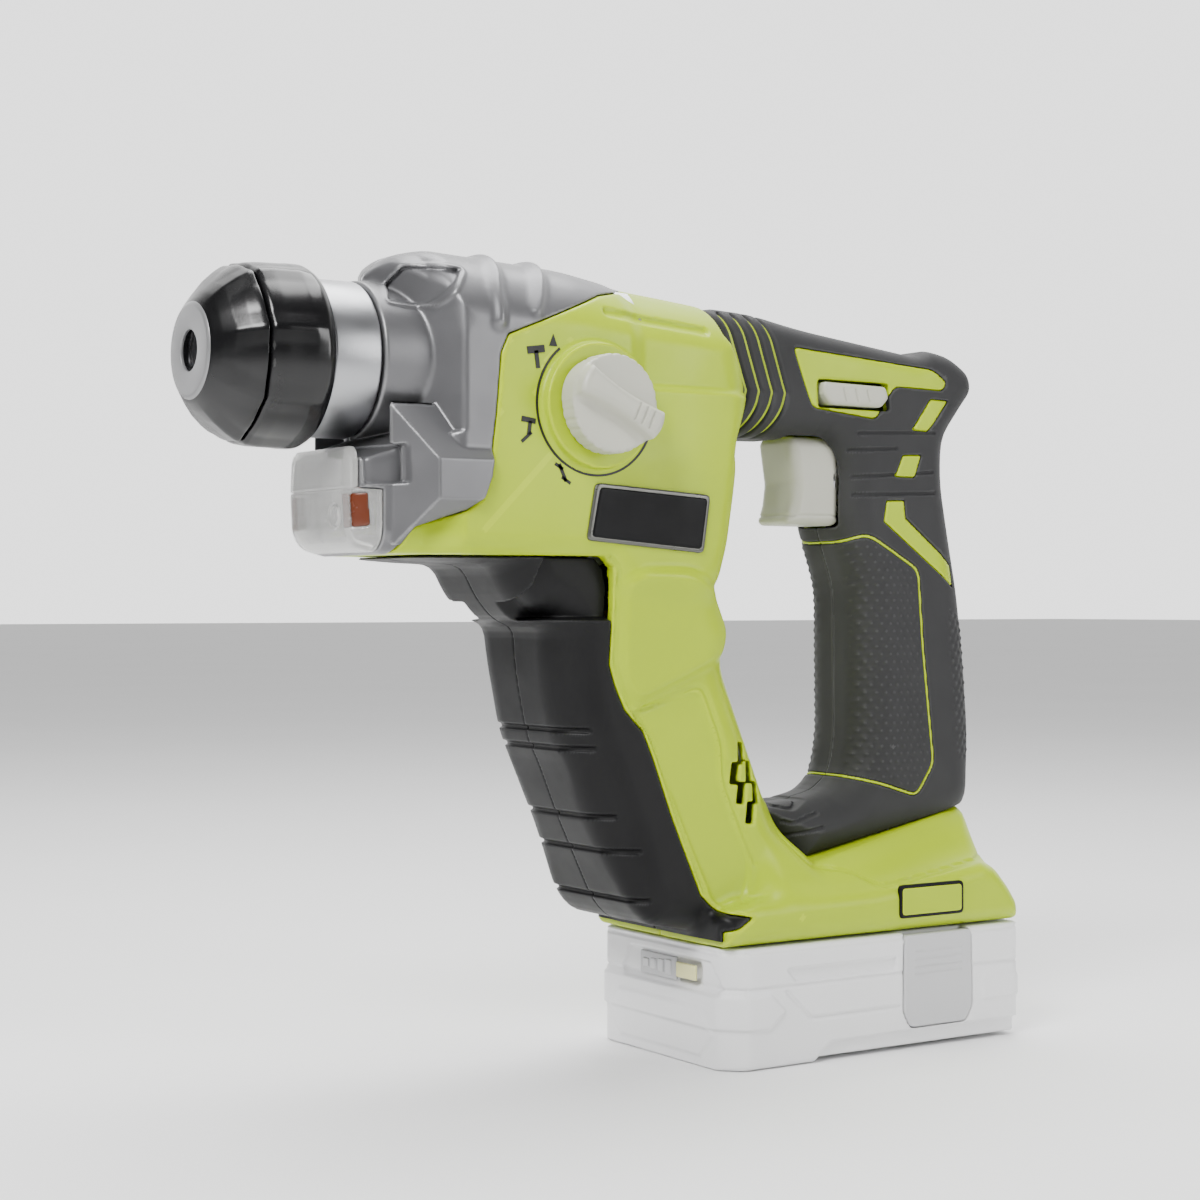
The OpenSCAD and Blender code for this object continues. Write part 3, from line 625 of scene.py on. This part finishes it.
M = {
    "lime": plastic("lime_plastic", (0.38, 0.51, 0.0002), 0.36, 2200, 0.00004, 0.03, 0.28,
                    edge_tint=(0.46, 0.59, 0.002)),
    "rubber": plastic("grey_rubber", (0.026, 0.026, 0.027), 0.6, 2400, 0.0001, 0.10, 0.25,
                      edge_tint=(0.055, 0.055, 0.057)),
    "black_grip": plastic("black_grip", (0.004, 0.004, 0.0045), 0.48, 2600, 0.00008, 0.15, 0.22,
                          edge_tint=(0.018, 0.018, 0.019)),
    "case": plastic("case_paint", (0.15, 0.15, 0.156), 0.38, 3400, 0.00006, 0.05, 0.5, metal=0.6,
                    edge_tint=(0.26, 0.26, 0.265)),
    "collar": plastic("turned_aluminium", (0.40, 0.405, 0.42), 0.34, 900, 0.00006, 0.04, 0.5, metal=1.0,
                      stretch=(9, 0.4, 0.4), gs=0.5),
    "chuck": plastic("chuck_black", (0.004, 0.004, 0.0045), 0.24, 1800, 0.00003, 0.2, 0.42, coat=0.1,
                     edge_tint=(0.03, 0.03, 0.03)),
    "nose": plastic("nose_grey", (0.24, 0.24, 0.245), 0.34, 1500, 0.00004, 0.08, 0.5, metal=0.35,
                    edge_tint=(0.24, 0.24, 0.25)),
    "white": plastic("off_white", (0.46, 0.46, 0.385), 0.38, 2200, 0.00004, 0.03, 0.45),
    "steel": plastic("ground_steel", (0.48, 0.48, 0.50), 0.3, 1200, 0.00004, 0.05, 0.5, metal=1.0,
                     stretch=(6, 1, 1)),
    "alloy": plastic("cast_alloy", (0.55, 0.56, 0.58), 0.42, 1600, 0.00008, 0.05, 0.5, metal=1.0),
    "bronze": plastic("bronze", (0.50, 0.30, 0.12), 0.35, 1500, 0.00004, 0.1, 0.5, metal=1.0),
    "black": plastic("black_plastic", (0.014, 0.014, 0.016), 0.45, 2000, 0.00005, 0.15),
    "print": plastic("black_print", (0.004, 0.004, 0.004), 0.5, 2000, 0.00002, 0.1),
    "badge": plastic("badge_black", (0.003, 0.003, 0.0035), 0.42, 1500, 0.00002, 0.2, 0.15),
    "badge_rim": plastic("badge_rim", (0.10, 0.10, 0.09), 0.3, 1500, 0.00002, 0.05, 0.5, metal=0.6),
    "pack": plastic("pack_light", (0.80, 0.80, 0.805), 0.42, 2000, 0.00004, 0.015),
    "pack2": plastic("pack_grey", (0.64, 0.64, 0.65), 0.45, 2000, 0.00005, 0.02),
    "pack3": plastic("pack_panel", (0.52, 0.52, 0.53), 0.45, 2000, 0.00005, 0.02),
    "cell": plastic("cell_wrap", (0.04, 0.16, 0.38), 0.3, 1500, 0.00002, 0.05),
    "yellow": plastic("pale_yellow", (0.80, 0.78, 0.36), 0.4, 1500, 0.00003, 0.04),
    "amber": plastic("amber_window", (0.11, 0.022, 0.006), 0.25, 1500, 0.00003, 0.2, 0.6),
}


def lens_mat():
    m, nt, b = new_mat("clear_lens")
    nz = noise(nt, 240, 3)
    col = rampn(nt, nz.outputs[0], 0.3, 0.7, (0.80, 0.80, 0.78), (0.92, 0.92, 0.90))
    nt.links.new(col.outputs["Color"], b.inputs["Base Color"])
    rr = rampn(nt, nz.outputs[0], 0.3, 0.7, (0.10,) * 3, (0.22,) * 3)
    nt.links.new(rr.outputs["Color"], b.inputs["Roughness"])
    bumps(nt, b, [(nz, 0.3, 0.0003)])
    b.inputs["Transmission Weight"].default_value = 0.75
    b.inputs["IOR"].default_value = 1.45
    return m


M["lens"] = lens_mat()
SLOT = {"lime_plastic": "lime", "grey_rubber": "rubber", "black_rubber": "black_grip", "case_paint": "case",
        "aluminium": "alloy", "steel": "steel", "bronze": "bronze", "chuck_black": "chuck", "nose_grey": "nose",
        "black_plastic": "black", "off_white": "white", "lens": "lens", "badge_black": "badge",
        "pack_light": "pack", "pack_grey": "pack2", "cell_wrap": "cell", "button_yellow": "yellow"}
for s in frame["record"]["subparts"]:
    ob = frame["nodes"][s["node"]]
    ob.data.materials.clear()
    ob.data.materials.append(M[SLOT[s["material_slot"]]])


def finish_piece(ob, mat, body, nodes=()):
    ob.data.materials.clear()
    ob.data.materials.append(M[mat])
    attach(ob, body)
    if nodes:
        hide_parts(*nodes)
    return ob


def sculpt(name, field, lo, hi, h, mat, body, nodes=(), both=None, newton=2):
    """Meshes a field and places it; both names the mirrored copy for the far side."""
    P, F = mesh_field(name, field, lo, hi, h, newton)
    ob = finish_piece(make_object(name, P, F), mat, body, nodes)
    if both:
        finish_piece(make_object(both[0], P, F, mirror=True), mat, body, both[1])
    return ob


# ---------------------------------------------------------------- shells
Q = 0.0


def left_only(f):
    """The part of a field on the near side of the middle plane, with a hair of gap."""
    return lambda x, y, z: np.maximum(f(x, y, z), y + GAP)


sculpt("casing_left", left_only(lambda x, y, z: lime_f(x, y, z, True)), (-113, -46, 36), (125, 1, 245), 0.8 + Q,
       "lime", "tool", ["housing_left"])
P, F = mesh_field("right", left_only(lambda x, y, z: lime_f(x, y, z, False)), (-113, -46, 36), (125, 1, 245),
                  0.8 + Q)
finish_piece(make_object("casing_right", P, F, mirror=True), "lime", "tool", ["housing_right"])
sculpt("handle_rubber_left", left_only(rubber_f), (4, -22, 60), (126, 1, 242), 0.55 + Q, "rubber", "tool",
       ["handle_grip_left"], ("handle_rubber_right", ["handle_grip_right"]))
sculpt("handle_core_left", core_f, (4, -22, 60), (126, 1, 242), 0.6 + Q, "lime", "tool", [],
       ("handle_core_right", []))
sculpt("front_grip_left", fgrip_f, (-113, -41, 40), (14, 1, 162), 0.6 + Q, "black_grip", "tool",
       ["column_grip_left"], ("front_grip_right", ["column_grip_right"]))
P, F = mesh_field("case", left_only(case_f), (-125, -42, 154), (-6, 1, 251), 0.6 + Q)
finish_piece(make_object("gear_case_left", P, F), "case", "tool", ["gear_case"])
finish_piece(make_object("gear_case_right", P, F, mirror=True), "case", "tool")

# ---------------------------------------------------------------- chuck


def facets(x, r, a):
    """Eight soft flats on the sleeve and cap."""
    u = (a + 0.2) % (math.pi / 4) - math.pi / 8
    w = max(0.0, min(1.0, (-128.5 - x) / 7)) * max(0.0, min(1.0, (x + 160.2) / 5))
    flat = r * (math.cos(math.pi / 8) / np.cos(u) - 1)
    return np.maximum(flat, -1.5) * 0.75 * w if r > 14 else 0 * a


sl = turned("sleeve", fillet([(-147.1, 12), (-147.1, 26.0), (-146.2, 26.9), (-142.5, 27.4), (-134, 27.5),
                              (-130, 26.9), (-127.6, 25.4), (-127.0, 24.2), (-127.0, 23.5), (-141, 23.5),
                              (-141, 12)], 0.8, 4), 200, facets)
finish_piece(sl, "chuck", "chuck_sleeve", ["chuck_sleeve"])
cap = turned("dust_cap", fillet([(-157.9, 6.0), (-160.9, 6.0), (-160.9, 13.2), (-160.2, 14.6), (-158.4, 17.2),
                                 (-155.4, 20.8), (-152.0, 23.8), (-149.4, 25.6), (-147.9, 26.2), (-147.9, 12),
                                 (-157.9, 12)], 0.6, 3), 200, facets)
finish_piece(cap, "chuck", "spindle", ["nose_cap"])
face = turned("nose_face", fillet([(-161.25, 5.9), (-161.25, 12.9), (-160.8, 13.7), (-160.1, 14.2), (-160.1, 5.9)],
                                  0.4, 3), 160)
finish_piece(face, "nose", "spindle")
col = turned("collar", fillet([(-126.9, 20.4), (-126.9, 22.2), (-126.2, 23), (-112.3, 23), (-111.6, 22.3),
                               (-111.6, 20.4)], 0.4, 3), 160)
finish_piece(col, "collar", "tool", ["front_collar"])

# ---------------------------------------------------------------- dial
DX0, DZ0 = -46.0, 203.0
BA = math.radians(-27)


def dial_f(x, y, z):
    """The round mode knob with its slanted bar."""
    u = (x - DX0) * math.cos(BA) + (z - DZ0) * math.sin(BA)
    v = -(x - DX0) * math.sin(BA) + (z - DZ0) * math.cos(BA)
    r = np.sqrt(u * u + v * v)
    ang = np.arctan2(v, u)
    f = slab(r - 14.7 + 0.25 * np.maximum(np.cos(30 * ang), 0) * (np.abs(v) > 7), y + 40.6, 3.6, 1.0)
    w = 4.6 + 1.2 * np.abs(u / 14) ** 2
    top = np.maximum(np.abs(v) - w + np.maximum(-y - 41, 0) * 0.18, np.abs(u) - 15.2 + 0.06 * v * v)
    bar = slab(top, y + 43, 6.4, 2.0)
    f = smin(f, bar, 1.6)
    f = smin(f, np.maximum(r - 8.9, np.abs(y + 33) - 5), 0.4)
    for k in range(3):
        f = groove(f, np.abs(u - 5.2 - 2.7 * k) + np.maximum(np.abs(v) - 2.6, 0), 0.45, 0.5)
    return f


sculpt("mode_knob", dial_f, (-64, -51, 184), (-28, -27, 222), 0.4 + Q / 2, "white", "mode_dial",
       ["mode_dial"])


def flat_print(name, outlines, y, mat, thick=0.12, body="tool"):
    """A thin printed or moulded mark on the side face, from closed outlines in the side plane."""
    V, Fc = [], []
    for p in outlines:
        n = len(p)
        b = len(V)
        V += [(x, y - thick, z) for x, z in p] + [(x, y + thick, z) for x, z in p]
        Fc += [tuple(range(b, b + n))[::-1], tuple(range(b + n, b + 2 * n))]
        Fc += [(b + i, b + (i + 1) % n, b + n + (i + 1) % n, b + n + i) for i in range(n)]
    me = bpy.data.meshes.new(name)
    me.from_pydata([((x - HALF_L) / 1000, yy / 1000, z / 1000) for x, yy, z in V], [], Fc)
    me.update()
    ob = bpy.data.objects.new(name, me)
    bpy.context.scene.collection.objects.link(ob)
    bm = bmesh.new()
    bm.from_mesh(me)
    bmesh.ops.recalc_face_normals(bm, faces=bm.faces)
    bm.to_mesh(me)
    bm.free()
    return finish_piece(ob, mat, body)


def arc(cx, cz, r, a0, a1, w, n=48):
    t = np.radians(np.linspace(a0, a1, n))
    o = [(cx + (r + w) * math.cos(k), cz + (r + w) * math.sin(k)) for k in t]
    i = [(cx + r * math.cos(k), cz + r * math.sin(k)) for k in t[::-1]]
    return o + i


def rect(cx, cz, w, h, a=0.0):
    c, s = math.cos(math.radians(a)), math.sin(math.radians(a))
    return [(cx + u * c - v * s, cz + u * s + v * c) for u, v in ((-w, -h), (w, -h), (w, h), (-w, h))]


YS = -33.25              # just outside the casing's left face
marks = [arc(DX0, DZ0, 20.3, 128, 345, 0.75)]
# generic pictograms: hammer, hammer with drill, drill, chisel
marks += [rect(-67.0, 218.5, 3.0, 1.1, 8), rect(-66.6, 215.6, 0.7, 2.6, 8)]
marks += [[(-62.5, 219.8), (-59.6, 219.8), (-61.0, 223.4)]]
marks += [rect(-69.5, 197.8, 2.4, 0.8, -8), rect(-69.2, 195.5, 0.6, 2.0, -8), rect(-70.2, 192.8, 2.2, 0.5, 40)]
marks += [rect(-57.8, 182.8, 0.6, 2.8, 25), rect(-56.6, 180.6, 1.8, 0.5, -30), rect(-59.0, 184.6, 1.6, 0.5, -30)]
marks += [rect(-26.4, 196.6, 0.5, 1.8, -20)]
flat_print("dial_marks", marks, YS, "print")


def pillow(name, area, y, hw, mat, body, nodes=(), both=None, pad=3, rim=None, h=0.4, R=0.5):
    """A raised or inset plate with rounded edges, following an outline."""
    zz, xx = np.where(area.g < 0)
    lo = (GX[xx.min()] - pad, y - hw - 2, GZ[zz.min()] - pad)
    hi = (GX[xx.max()] + pad, y + hw + 2, GZ[zz.max()] + pad)

    def f(x, yy, z):
        g = slab(area(x, z), yy - y, hw, R)
        if rim:
            g = raised(g, area(x, z) + rim, -0.35, 0.3)
        return g
    return sculpt(name, f, lo, hi, h, mat, body, nodes, both)


pillow("badge_left", badge_a, -33.3, 0.85, "badge_rim", "tool", ["badges"], ("badge_right", []))
inner_badge = Area([[-45.2, 179.0], [-5.6, 176.5], [-8.0, 160.8], [-48.2, 164.0]], 1.4)
pillow("badge_face_left", inner_badge, -33.55, 0.85, "badge", "tool", [],
       ("badge_face_right", []))
pillow("base_plate_left", plate_a, -38.0, 0.85, "badge", "tool", ["base_plates"],
       ("base_plate_right", []))
plate_in = Area([[68.4, 43.5], [94.1, 43.5], [94.1, 52.5], [68.4, 52.5]], 1.2)
pillow("base_plate_face_left", plate_in, -38.15, 0.85, "lime", "tool", [],
       ("base_plate_face_right", []))

# ---------------------------------------------------------------- trigger and selector
trig_a = Area([[47, 199.4], [45.6, 197.5], [46.8, 190], [47.8, 184], [46.8, 177], [44.8, 171.6], [46, 170.2],
               [66, 170.2], [67, 172], [67, 198], [66, 199.4]], 1.2)


def trigger_f(x, y, z):
    f = slab(trig_a(x, z), y, 9.8 - 0.05 * np.maximum(50 - x, 0), 4.0)
    f = groove(f, np.abs(z - 173.4), 0.4, 0.4)
    return smin(f, block(x, y, z, (69, 0, 185), (9, 6, 7), 1), 0.4)


sculpt("trigger_blade", trigger_f, (42, -12, 167), (80, 12, 202), 0.45 + Q / 2, "white", "trigger",
       ["trigger"])
sel_a = Area([[52.5, 216.8], [78.6, 216.4], [80, 212.5], [76.8, 209.3], [55.5, 209.4], [52, 213]], 1)


def selector_f(x, y, z):
    f = slab(sel_a(x, z), y, 19.4, 1.6)
    for k in (-1, 0, 1):
        f = groove(f, np.abs(x - 66 - 5 * k + 0.3 * (z - 213)) + np.maximum(np.abs(z - 213) - 1.8, 0), 0.4, 0.4)
    return f


sculpt("direction_button", selector_f, (50, -21, 207), (82, 21, 219), 0.45 + Q / 2, "white", "selector",
       ["direction_selector"])

# ---------------------------------------------------------------- work light
win_a = Area([[-120.4, 176], [-115.9, 176.2], [-115.4, 166.2], [-119.8, 165.6]], 1)


def lens_f(x, y, z):
    """The clear front of the foot, hollow behind."""
    f = smax(head_f(x, y, z), lens_zone(x, z) + 0.1, 0.4)
    f = smax(f, z - 189.4, 0.5)
    f = groove(f, np.abs(z - 177.1), 0.4, 0.5)
    f = groove(f, np.abs(np.sqrt((y + 11) ** 2 + (z - 169.5) ** 2) - 3.2) + 9 * (x > -119), 0.4, 0.5)
    f = raised(f, win_a(x, z), -0.8, 0.3)
    return np.maximum(f, -np.maximum(head_f(x, y, z) + 2.2, -(x + 118.9)))


def window_f(x, y, z):
    """The amber window in the lens's side."""
    return np.maximum(np.maximum(head_f(x, y, z) + 0.45, win_a(x, z) + 0.35), y + 15)


sculpt("light_lens", lens_f, (-124, -27, 156), (-110, 27, 191), 0.45 + Q / 2, "lens", "tool",
       ["work_light_lens"])
sculpt("light_window_left", window_f, (-122, -27, 163), (-113, -13, 178), 0.4, "amber", "tool", [],
       ("light_window_right", []))

# ---------------------------------------------------------------- battery
bat_o = Area([[0.2, 0], [121.8, 0], [121.8, 37.6], [0.2, 37.6]])
latch_a = Area([[70.4, 37.0], [99, 37.0], [99.6, 12], [96.4, 7.0], [73, 7.0], [70, 12]], 1.5)
chevb = Area([[-10, 12.5], [15, 12.5], [21.5, 17.5], [15.5, 23], [-10, 23]], 0)
band_lo = Area([[30, -5], [36, 3.2], [40, 6.2], [124, 6.2], [124, -5]], 1)
up_a = Area([[22, 30.5], [67, 30.5], [67, 26.2], [26, 26.2]], 1)
tag_a = Area([[104, 13.4], [120.6, 13.4], [120.6, 20.8], [104, 20.8]], 1)
side_l = Line([[22, 23.4], [32, 14.2], [68, 14.2]], 1)


def pack_f(x, y, z):
    """The battery case."""
    f = slab(bat_o(x, z), y, 37.9, 2.2)
    # vertical corner rounding, with a broad chamfer at the front
    cx = np.maximum(np.abs(x - 61) - 55.5, 0)
    cy = np.maximum(np.abs(y) - 32.5, 0)
    f = smax(f, np.sqrt(cx * cx + cy * cy) - 5.6, 0.8)
    f = smax(f, (np.abs(y) - 31 - x) * 0.707, 1.5)
    f = groove(f, np.abs(z - 25.0), 0.5, 0.7)
    f = groove(f, np.abs(z - 36.2), 0.5, 0.6)
    f = raised(f, band_lo(x, z), -1.3, 0.3)
    f = raised(f, up_a(x, z), -1.2, 0.3)
    f = groove(f, side_l(x, z), 0.6, 0.8)
    f = raised(f, chevb(x, z), 0.9, 0.3)
    f = raised(f, tag_a(x, z), 0.7, 0.25)
    # recess for the side latch
    f = smax(f, -np.maximum(latch_a(x, z) - 0.35, -(np.abs(y) - 32.4)), 0.3)
    f = smax(f, -block(x, y, z, (0, -14.5, 28.6), (3.4, 5.5, 2.7), 0.3), 0.2)
    # gauge recess and chevron on the front face
    g = np.maximum(np.abs(y + 5) - 27 + 0.7 * np.abs(z - 26), np.abs(z - 28) - 5.2)
    f = np.where(x < 12, raised(f, g, -1.0, 0.3), f)
    h = np.maximum(np.abs(y) - 29 + 0.9 * np.abs(z - 11), np.abs(z - 11) - 7.5)
    f = np.where(x < 12, raised(f, h, 0.8, 0.3), f)
    return f


P, F = mesh_field("pack", pack_f, (-2, -40, -1.5), (124, 40, 39), 0.8 + Q)
finish_piece(make_object("battery_shell", P, F), "pack", "battery", ["battery_lower_case"])
tower_a = Area([[76, 30], [110, 30], [110, 76], [76, 76]])
sculpt("battery_stem", lambda x, y, z: slab(tower_a(x, z), y, 12, 1.2), (74, -14, 28), (112, 14, 78), 0.8, "pack2",
       "battery", ["battery_upper_case"])


def latch_f(x, y, z):
    f = slab(latch_a(x, z), y + 36.6, 1.5, 0.7)
    for k in range(4):
        f = groove(f, np.abs(z - 24 - 2.4 * k) + np.maximum(np.abs(x - 84.6) - 10, 0), 0.4, 0.4)
    return f


P, F = mesh_field("latch", latch_f, (68, -39, 5), (102, -34, 39), 0.45)
finish_piece(make_object("latch_key_left", P, F), "pack3", "latch_left", ["battery_latch_left"])
finish_piece(make_object("latch_key_right", P, F, mirror=True), "pack3", "latch_right",
             ["battery_latch_right"])


def front_tile(name, y, z, wy, wz, mat, body="battery", nodes=(), x=0.9, t=0.5):
    """A small rounded tile on the pack's front face."""
    return sculpt(name, lambda X, Y, Z: block(X, Y, Z, (x, y, z), (t, wy, wz), 0.3),
                  (x - 2, y - wy - 1, z - wz - 1), (x + 2, y + wy + 1, z + wz + 1), 0.3, mat, body, nodes)


front_tile("gauge_plate", 1.4, 28.6, 10.0, 3.6, "pack3", nodes=["gauge_panel"])
for k in range(4):
    front_tile("gauge_bar_%d" % k, 8 - 4.2 * k, 28.6, 1.5, 1.4 + 0.35 * k, "pack2", x=0.5)
front_tile("gauge_button", -14.5, 28.6, 5.2, 2.4, "yellow", "charge_button", ["charge_button"], x=0.3)

# ---------------------------------------------------------------- floor and lights
bpy.ops.mesh.primitive_plane_add(size=30, location=(0, 0, -0.0002))
floor = bpy.context.object
floor.name = "floor"
fm, fnt, fb = new_mat("floor")
fz = noise(fnt, 3, 2)
fc = rampn(fnt, fz.outputs[0], 0.3, 0.7, (0.86, 0.86, 0.86), (0.88, 0.88, 0.88))
fnt.links.new(fc.outputs["Color"], fb.inputs["Base Color"])
fb.inputs["Roughness"].default_value = 0.7
floor.data.materials.append(fm)
w = bpy.data.worlds.new("studio")
bpy.context.scene.world = w
w.use_nodes = True
wt = w.node_tree
bg = wt.nodes["Background"]
# a pale backdrop behind the tool, and a darker room on the other side
wc = wt.nodes.new("ShaderNodeTexCoord")
wd = wt.nodes.new("ShaderNodeVectorMath")
wd.operation = "DOT_PRODUCT"
wd.inputs[1].default_value = (0.55, 0.83, 0.0)
wt.links.new(wc.outputs["Generated"], wd.inputs[0])
wr = wt.nodes.new("ShaderNodeMapRange")
wr.interpolation_type = "SMOOTHSTEP"
wr.inputs["From Min"].default_value = 0.15
wr.inputs["From Max"].default_value = 0.7
wr.inputs["To Min"].default_value = 0.13
wr.inputs["To Max"].default_value = 2.2
wt.links.new(wd.outputs["Value"], wr.inputs["Value"])
wt.links.new(wr.outputs["Result"], bg.inputs[1])
bg.inputs[0].default_value = (1.0, 1.0, 1.0, 1)


def area_light(name, loc, target, size, power):
    d = bpy.data.lights.new(name, "AREA")
    d.shape = "RECTANGLE"
    d.size, d.size_y = size
    d.energy = power
    o = bpy.data.objects.new(name, d)
    bpy.context.scene.collection.objects.link(o)
    o.location = loc
    o.rotation_euler = (Vector(target) - Vector(loc)).to_track_quat("-Z", "Y").to_euler()


area_light("key", (-0.9, -0.5, 0.95), (-0.03, 0, 0.14), (0.45, 0.45), 20)
area_light("top", (0.1, 0.2, 1.2), (0, 0, 0.1), (0.8, 0.8), 19)
area_light("fill", (0.6, -1.0, 0.5), (0.0, 0, 0.13), (0.35, 0.6), 6)
